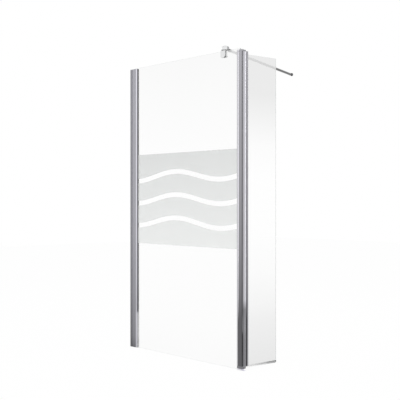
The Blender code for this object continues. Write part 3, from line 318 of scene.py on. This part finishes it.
def drawn_metal(name, tint, side, painted_reflection_by_heading, painted_light_by_place, painted_light_fall=None, own_painted_light_falls=()):
    """Extruded aluminium: each face has a tone by its heading and its place across the section,
    which are painted reflections, highlights and shade.

    The tone follows the height by a ramp of painted shade and highlights. Each pair in the own list
    is a ramp across the section, which is 1 at the places that follow another height ramp, and that
    ramp.
    """
    material, tree = new_material(name)
    place = across(tree, side)
    tone = multiply(tree, grey_ramp(tree, facing(tree), painted_reflection_by_heading),
                    grey_ramp(tree, place, painted_light_by_place))
    if painted_light_fall:
        level = height_share(tree)
        along = grey_ramp(tree, level, painted_light_fall)
        for by_share, own_painted_light_fall in own_painted_light_falls:
            along = mix_colours(tree, grey_ramp(tree, place, by_share), along,
                                grey_ramp(tree, level, own_painted_light_fall))
        tone = multiply(tree, tone, along)
    lines = noise(tree, DRAWN_LINES)
    output(tree, surface(
        tree, Metallic=1.0,
        Base_Color=multiply(tree, tone, mottled(tree, lines, tint, 0.96)),
        Roughness=varied(tree, lines, METAL_ROUGH, 0.9, 1.15, LINE_SPAN),
        Normal=bump(tree, lines, LINE_BUMP)))
    return material


def plated_metal(name, colour, rough, painted_shade_under=1.0, side=None, painted_light_by_place=None):
    """Polished plating with faint clouding and wiping marks.

    It is darker by a share where it looks down, a painted shade, and its tone may follow its
    place along one axis as painted shade and reflection.
    """
    material, tree = new_material(name)
    tone = mottled(tree, noise(tree, PLATING_CLOUD), colour, 0.95)
    tilt = remap(tree, coordinate(tree, "Normal")["Z"], -1.0, 1.0, 0.0, 1.0)
    tone = multiply(tree, tone, grey_ramp(tree, tilt, [(0.40, painted_shade_under), (0.48, 1.0)]))
    if side:
        tone = multiply(tree, tone, grey_ramp(tree, across(tree, side), painted_light_by_place))
    output(tree, surface(
        tree, Metallic=1.0,
        Base_Color=tone,
        Roughness=varied(tree, noise(tree, WIPING_MARKS), rough, 0.7, 1.5)))
    return material


def soft_rubber(name, colour, rough, painted_light_fall=None, shine=0.5):
    """Extruded rubber with a fine dull texture; its tone may follow the height as painted light."""
    material, tree = new_material(name)
    grit = noise(tree, RUBBER_GRIT)
    tone = mottled(tree, grit, colour, 0.7, 1.3)
    if painted_light_fall:
        tone = multiply(tree, tone, grey_ramp(tree, height_share(tree), painted_light_fall))
    output(tree, surface(
        tree, Specular_IOR_Level=shine,
        Base_Color=tone,
        Roughness=varied(tree, grit, rough, 0.85, 1.15),
        Normal=bump(tree, grit, GRIT_BUMP)))
    return material


def pane_faces(tree, painted_reflection_fall, sheen_share):
    """The broad faces of a pane: a tint that follows the height, a painted reflection, and a sheen.

    Both apply once, on the side that faces the ray, and not inside the pane.
    """
    inside = tree.nodes.new("ShaderNodeNewGeometry").outputs["Backfacing"]
    film = grey_ramp(tree, noise(tree, GLASS_FILM), FILM_SHADES)
    tint = multiply(tree, grey_ramp(tree, height_share(tree), painted_reflection_fall), film)
    sheen = tree.nodes.new("ShaderNodeBsdfGlossy")
    wire(tree, SHEEN_COLOUR, sheen.inputs["Color"])
    wire(tree, SHEEN_ROUGH, sheen.inputs["Roughness"])
    fresnel = tree.nodes.new("ShaderNodeFresnel")
    wire(tree, GLASS_IOR, fresnel.inputs["IOR"])
    share = calculate(tree, "MAXIMUM", fresnel.outputs["Fac"], sheen_share)
    share = calculate(tree, "MULTIPLY", share, calculate(tree, "SUBTRACT", 1.0, inside))
    clear = see_through(tree, mix_colours(tree, inside, tint, WHITE))
    return mix_shaders(tree, share, clear, sheen.outputs["BSDF"])


def pane_edges(tree):
    """Ground edges: a soft green-grey."""
    tone = mottled(tree, noise(tree, GROUND_EDGE), EDGE_COLOUR, 0.9)
    edge = surface(tree, Base_Color=tone, Roughness=EDGE_ROUGH)
    return mix_shaders(tree, EDGE_COVER, see_through(tree), edge)


def finish_glass(name, axis, painted_reflection_fall, sheen_share):
    """Clear glass whose broad faces look along the given axis; the other faces are its edges."""
    material, tree = new_material(name)
    size = calculate(tree, "ABSOLUTE", coordinate(tree, "Normal")[axis])
    is_edge = remap(tree, size, *BROAD_FACE, 1.0, 0.0)
    body = mix_shaders(tree, is_edge, pane_faces(tree, painted_reflection_fall, sheen_share), pane_edges(tree))
    is_shadow = tree.nodes.new("ShaderNodeLightPath").outputs["Is Shadow Ray"]
    output(tree, mix_shaders(tree, is_shadow, body, see_through(tree, SHADOW_TINT)))
    return material


def translucent(name, colour, rough, side, painted_reflection_cover):
    """Clear soft plastic: a pale streaked film that lets light through, as its place says."""
    material, tree = new_material(name)
    tone = mottled(tree, noise(tree, VINYL_STREAK), colour, 0.85)
    film = surface(tree, Base_Color=tone, Roughness=rough)
    # Where the film covers more it is darker: a painted reflection.
    cover = grey_ramp(tree, across(tree, side), painted_reflection_cover)
    output(tree, mix_shaders(tree, cover, see_through(tree), film))
    return material


def frosted(name, low_colour, high_colour, rough, cover):
    """Etched glass: a pale matt film that lets some light through, with a fine grain."""
    material, tree = new_material(name)
    tone = ramp(tree, across(tree, BAND_SIDE), [(0.0, low_colour), (1.0, high_colour)])
    grain = noise(tree, FROST_GRAIN)
    for source in (grain, noise(tree, FROST_CLOUD)):
        tone = multiply(tree, tone, grey_ramp(tree, source, FROST_SHADES))
    film = surface(tree, Base_Color=tone, Roughness=rough, Normal=bump(tree, grain, GRAIN_BUMP))
    output(tree, mix_shaders(tree, cover, see_through(tree), film))
    return material


# Aluminium tones, all painted light: by heading and by place they are painted reflections and
# highlights, with a painted shadow line at the wall profile's mouth; by height they are painted
# shade, darker towards the bottom. The bracket is painted dark, with a painted lighter strip along
# its lowest 9 mm.
aluminium = drawn_metal(
    "aluminium_column", COLUMN_TINT, COLUMN_SIDE,
    painted_reflection_by_heading=[(0.235, 0.80), (0.245, 0.44), (0.300, 0.44), (0.340, 0.36), (0.42, 0.36),
                (0.46, 0.12), (0.62, 0.12), (0.68, 0.44), (0.94, 0.44), (0.99, 0.80)],
    painted_light_by_place=[(0.03, 0.57), (0.20, 0.78), (0.24, 0.61), (0.32, 0.92), (0.36, 1.0)],
    painted_light_fall=PLAIN_PAINTED_SHADE,
    own_painted_light_falls=[([(0.33, 1.0), (0.345, 0.0)], BEVEL_PAINTED_LIGHT),
               ([(0.16, 1.0), (0.22, 0.0)], COLUMN_EDGE_PAINTED_LIGHT)])
return_aluminium = drawn_metal(
    "aluminium_return", COLUMN_TINT, RETURN_SIDE,
    painted_reflection_by_heading=[(0.22, 0.48), (0.30, 0.52), (0.40, 0.545), (0.46, 0.95), (0.50, 1.0),
                (0.94, 1.0), (0.99, 0.48)],
    painted_light_by_place=[(0.42, 1.0), (0.44, 0.72), (0.56, 0.72), (0.58, 0.37)],
    painted_light_fall=RETURN_PAINTED_SHADE,
    own_painted_light_falls=[([(0.42, 1.0), (0.44, 0.0)], BARREL_PAINTED_LIGHT),
               ([(0.56, 0.0), (0.58, 1.0)], RETURN_FLAT_PAINTED_LIGHT)])
wall_aluminium = drawn_metal(
    "aluminium_wall", WALL_TINT, WALL_SIDE,
    painted_reflection_by_heading=[(0.255, 0.40), (0.275, 0.82), (0.94, 0.82), (0.99, 0.40)],
    painted_light_by_place=[(0.15, 0.50), (0.25, 0.80), (0.60, 0.88), (0.74, 0.66), (0.785, 0.66),
              (0.80, 1.0), (0.91, 1.0), (0.93, 0.48)],
    painted_light_fall=WALL_PAINTED_SHADE,
    own_painted_light_falls=[([(0.085, 1.0), (0.095, 0.0)], CHANNEL_PAINTED_SHADE),
               ([(0.785, 0.0), (0.80, 1.0), (0.92, 1.0), (0.93, 0.0)], WALL_BEVEL_PAINTED_LIGHT)])
bracket_metal = drawn_metal(
    "aluminium_bracket", COLUMN_TINT, FOOT_SIDE,
    painted_reflection_by_heading=[(0.26, 0.80), (0.42, 1.0)],
    painted_light_by_place=[(0.28, 0.95), (0.34, 0.26)])

# Chrome is darker where it looks down, a painted shade. The hub has a painted dark reflection where
# the bar's collar leaves it, and the bar a painted reflection that darkens towards its far end.
chrome = plated_metal("chrome_polished", (0.80, 0.805, 0.81), 0.09, 0.40)
hub_chrome = plated_metal("chrome_hub", (0.82, 0.825, 0.83), 0.09, 0.22, HUB_SIDE,
                          [(0.0, 1.0), (0.10, 0.30), (0.18, 0.08), (0.70, 0.10), (1.0, 0.25)])
bar_low, bar_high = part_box("stabiliser_bar")
bar_chrome = plated_metal("chrome_bar", (0.97, 0.98, 1.0), 0.12, 0.80, ("Y", bar_low.y, bar_high.y),
                          [(0.0, 0.50), (0.45, 0.34), (0.75, 0.10)])
# The fork and the rosette are given a dark colour that stands in for dark reflections: a painted
# reflection.
fork_chrome = plated_metal("chrome_fork", (0.16, 0.162, 0.166), 0.14, 0.80)
end_chrome = plated_metal("chrome_end", (0.21, 0.212, 0.216), 0.14, 0.80)
steel = plated_metal("steel_plain", (0.50, 0.50, 0.51), 0.30)

rubber = soft_rubber("rubber_black", (0.030, 0.030, 0.034), 0.60)
# The column seal has painted shade low down, a painted glint above it, and half its tone higher up.
seal_rubber = soft_rubber("rubber_seal", (0.29, 0.29, 0.30), 0.50, SEAL_PAINTED_SHADE_AND_GLINT, 0.20)
pad_rubber = soft_rubber("rubber_pad", (0.40, 0.40, 0.40), 0.50)
corner_rubber = soft_rubber("rubber_corner", (0.30, 0.31, 0.30), 0.55)
# The wall gasket is pale near the floor, a painted reflection, and near black above.
wall_rubber = soft_rubber("rubber_wall", (0.76, 0.76, 0.77), 0.55, WALL_RUBBER_PAINTED_REFLECTION, 0.30)
plastic = soft_rubber("plastic_grey", (0.42, 0.43, 0.44), 0.42)
# The drip seal's film covers more towards its outer end, a painted darker reflection there.
clear_seal = translucent("clear_seal", (0.42, 0.425, 0.43), 0.25, DRIP_SIDE,
                         [(0.0, 0.04), (0.30, 0.08), (0.60, 0.20), (1.0, 0.50)])

# Each pane's tint by height is a painted reflection.
main_clear = finish_glass("glass_main", "Y", MAIN_GLASS_PAINTED_REFLECTION, 0.50)
return_clear = finish_glass("glass_return", "X", RETURN_GLASS_PAINTED_REFLECTION, 0.60)
frost = frosted("glass_frosted", (0.88, 0.895, 0.885), (0.725, 0.74, 0.733), 0.75, 0.72)

# Finishes by the record's material slot, and those of single nodes
FINISHES = {
    "aluminium": aluminium,
    "chrome": chrome,
    "steel": steel,
    "rubber": rubber,
    "plastic": plastic,
    "clear_seal": clear_seal,
}
OWN_FINISHES = {
    "wall_channel": wall_aluminium,
    "wall_profile": wall_aluminium,
    "return_profile": return_aluminium,
    "pivot_bracket_top": aluminium,
    "pivot_bracket_bottom": bracket_metal,
    "bar_hub": hub_chrome,
    "stabiliser_bar": bar_chrome,
    "bar_end_fork": fork_chrome,
    "wall_rosette": end_chrome,
    "wall_gasket_outer": wall_rubber,
    "wall_gasket_inner": pad_rubber,
    "corner_gasket_outer": corner_rubber,
    "corner_gasket_inner": corner_rubber,
    "column_seal_outer": seal_rubber,
    "column_seal_inner": seal_rubber,
    "clamp_pad_outer": pad_rubber,
    "clamp_pad_inner": pad_rubber,
    "main_glass": main_clear,
    "return_glass": return_clear,
}


def dress_nodes():
    """Give each CAD node its own finish, or that of its slot in the record."""
    slots = {part["node"]: part["material_slot"] for part in frame["record"]["subparts"]}
    for name, node in NODES.items():
        finish = OWN_FINISHES.get(name) or FINISHES[slots[name]]
        for slot in node.material_slots:
            slot.link = "OBJECT"
            slot.material = finish


# Frosted band

def wave(x, middle):
    """Height of a stripe's middle at a place along the panel."""
    return middle + WAVE_HEIGHT * math.sin(math.tau * x / WAVE_LENGTH)


def frosted_band():
    """Matt film on the large panel's dry face, in strips between evenly spaced clear waves."""
    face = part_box("main_glass")[0].y - BAND_LIFT
    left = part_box("wall_gasket_outer")[1].x + BAND_MARGIN
    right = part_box("corner_gasket_outer")[0].x - BAND_MARGIN
    step = (BAND_HIGH - BAND_LOW) / (STRIPE_COUNT + 1)
    places = [left + (right - left) * i / WAVE_STEPS for i in range(WAVE_STEPS + 1)]
    edges = [[BAND_LOW] * len(places)]
    for count in range(1, STRIPE_COUNT + 1):
        middle = BAND_LOW + step * count
        edges.append([wave(x, middle) - STRIPE_WIDTH / 2 for x in places])
        edges.append([wave(x, middle) + STRIPE_WIDTH / 2 for x in places])
    edges.append([BAND_HIGH] * len(places))
    mesh = bmesh.new()
    for low_edge, high_edge in zip(edges[0::2], edges[1::2]):
        low_row = [mesh.verts.new((x, face, z)) for x, z in zip(places, low_edge)]
        high_row = [mesh.verts.new((x, face, z)) for x, z in zip(places, high_edge)]
        for i in range(WAVE_STEPS):
            mesh.faces.new((low_row[i], low_row[i + 1], high_row[i + 1], high_row[i]))
    data = bpy.data.meshes.new("frosted_band")
    mesh.to_mesh(data)
    mesh.free()
    data.materials.append(frost)
    band = bpy.data.objects.new("frosted_band", data)
    bpy.context.scene.collection.objects.link(band)
    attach(band, "fixed_screen")


# Studio

def seen_directly(tree):
    """1 on camera, glossy and transmission rays, and 0 on the others."""
    path = tree.nodes.new("ShaderNodeLightPath").outputs
    seen = calculate(tree, "MAXIMUM", path["Is Camera Ray"], path["Is Glossy Ray"])
    return calculate(tree, "MAXIMUM", seen, path["Is Transmission Ray"])


def glow(tree, kind, strength):
    """A white background or emission shader."""
    node = tree.nodes.new(kind)
    wire(tree, WHITE, node.inputs["Color"])
    wire(tree, strength, node.inputs["Strength"])
    return node.outputs[0]


def studio_world():
    """White where it is seen, and a plain soft level where it lights."""
    world = bpy.data.worlds.new("studio")
    bpy.context.scene.world = world
    world.use_nodes = True
    tree = world.node_tree
    tree.nodes.clear()
    light = glow(tree, "ShaderNodeBackground", WORLD_LEVEL)
    white = glow(tree, "ShaderNodeBackground", 1.0)
    end = tree.nodes.new("ShaderNodeOutputWorld")
    wire(tree, mix_shaders(tree, seen_directly(tree), light, white), end.inputs["Surface"])


def studio_floor():
    """A pale floor that shows as white and keeps a faint shadow."""
    material, tree = new_material("floor_white")
    matt = tree.nodes.new("ShaderNodeBsdfDiffuse")
    wire(tree, FLOOR_COLOUR, matt.inputs["Color"])
    wire(tree, FLOOR_ROUGH, matt.inputs["Roughness"])
    share = remap(tree, seen_directly(tree), 0.0, 1.0, 0.0, FLOOR_GLOW)
    white = glow(tree, "ShaderNodeEmission", 1.0)
    output(tree, mix_shaders(tree, share, matt.outputs["BSDF"], white))
    data = bpy.data.meshes.new("floor")
    corners = [(-FLOOR_HALF, -FLOOR_HALF), (FLOOR_HALF, -FLOOR_HALF),
               (FLOOR_HALF, FLOOR_HALF), (-FLOOR_HALF, FLOOR_HALF)]
    data.from_pydata([(x, y, -FLOOR_DROP) for x, y in corners], [], [(0, 1, 2, 3)])
    data.materials.append(material)
    floor = bpy.data.objects.new("floor", data)
    bpy.context.scene.collection.objects.link(floor)


def studio_lights():
    """A broad light over the screen and two tall ones at its sides."""
    for name, place, aim, width, length, power in LIGHTS:
        data = bpy.data.lights.new(name, "AREA")
        data.shape = "RECTANGLE"
        data.size = width
        data.size_y = length
        data.energy = power
        lamp = bpy.data.objects.new(name, data)
        lamp.location = place
        lamp.rotation_euler = (Vector(aim) - Vector(place)).to_track_quat("-Z", "Y").to_euler()
        bpy.context.scene.collection.objects.link(lamp)


def photo_camera():
    """The photograph's camera."""
    data = bpy.data.cameras.new("camera")
    data.sensor_fit = "HORIZONTAL"
    data.sensor_width = SENSOR_MM
    data.lens = FOCAL_PIXELS / IMAGE_PIXELS * SENSOR_MM
    data.clip_end = CAMERA_REACH
    camera = bpy.data.objects.new("camera", data)
    camera.location = CAMERA_PLACE
    camera.rotation_euler = (math.pi / 2, 0.0, CAMERA_YAW)
    bpy.context.scene.collection.objects.link(camera)
    bpy.context.scene.camera = camera


photo_camera()
dress_nodes()
frosted_band()
studio_world()
studio_floor()
studio_lights()
bpy.context.scene.view_settings.view_transform = "Standard"
